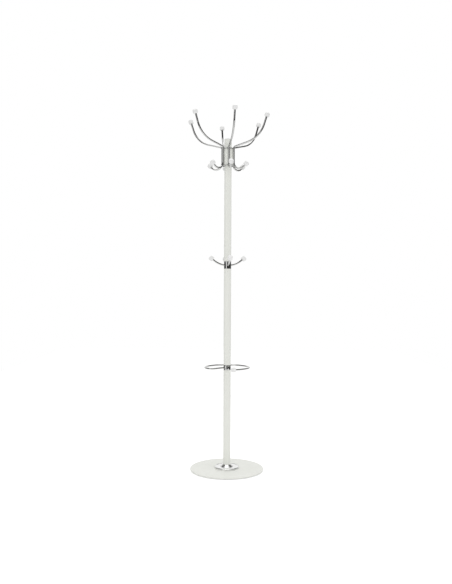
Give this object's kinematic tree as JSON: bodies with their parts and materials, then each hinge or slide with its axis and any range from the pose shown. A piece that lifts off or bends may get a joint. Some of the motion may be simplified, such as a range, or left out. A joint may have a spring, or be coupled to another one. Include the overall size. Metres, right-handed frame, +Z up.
{
  "type": "coat stand",
  "caption": "Revolving coat stand: disc base, tubular pole turning on a spindle, chromed double hooks and pegs with white knobs, and an open umbrella ring.",
  "frame": {"origin": "on the floor under the pole's axis, at the underside of the foot pads", "axes": "+Z up along the pole, -Y towards the front, where the umbrella ring is open, +X to the right"},
  "size_m": [0.3974, 0.455, 1.8496],
  "materials": {
    "white_paint": "fine powder coat, satin",
    "white_plastic": "moulded, half gloss",
    "chrome": "bright plated",
    "plain_steel": "turned, zinc plated",
    "nylon": "turned, matte",
    "rubber": "matte"
  },
  "bodies": {
    "base": {"base_plate": "white_paint", "foot_pad_1": "rubber", "foot_pad_2": "rubber", "foot_pad_3": "rubber", "foot_pad_4": "rubber", "keeper_screw": "plain_steel", "keeper_washer": "plain_steel", "rosette": "chrome", "spindle": "plain_steel", "spindle_screw_1": "plain_steel", "spindle_screw_2": "plain_steel", "spindle_screw_3": "plain_steel", "thrust_washer": "plain_steel"},
    "column": {"arm_knob_1": "white_plastic", "arm_knob_2": "white_plastic", "arm_knob_3": "white_plastic", "arm_knob_4": "white_plastic", "arm_knob_5": "white_plastic", "arm_knob_6": "white_plastic", "double_hook_1": "chrome", "double_hook_2": "chrome", "double_hook_3": "chrome", "double_hook_4": "chrome", "double_hook_5": "chrome", "double_hook_6": "chrome", "head_clamp_ring": "chrome", "head_hub": "white_paint", "head_set_screw": "plain_steel", "head_trim_ring": "chrome", "hook_knob_1": "white_plastic", "hook_knob_2": "white_plastic", "hook_knob_3": "white_plastic", "hook_knob_4": "white_plastic", "hook_knob_5": "white_plastic", "hook_knob_6": "white_plastic", "lower_bush": "nylon", "peg_1": "chrome", "peg_2": "chrome", "peg_3": "chrome", "peg_4": "chrome", "peg_collar": "chrome", "peg_collar_lower_insert": "plain_steel", "peg_collar_stud": "plain_steel", "peg_collar_upper_insert": "plain_steel", "peg_knob_1": "white_plastic", "peg_knob_2": "white_plastic", "peg_knob_3": "white_plastic", "peg_knob_4": "white_plastic", "pole_cap": "white_plastic", "pole_lower": "white_paint", "pole_middle": "white_paint", "pole_upper": "white_paint", "umbrella_collar": "chrome", "umbrella_collar_lower_insert": "plain_steel", "umbrella_collar_stud": "plain_steel", "umbrella_collar_upper_insert": "plain_steel", "umbrella_knob": "white_plastic", "umbrella_ring": "chrome", "upper_bush": "nylon"}
  },
  "joints": [
    {"name": "column_swivel", "type": "hinge", "parent": "base", "child": "column", "pos_m": [0, 0, 0.02], "axis": [0, 0, 1], "continuous": true}
  ]
}
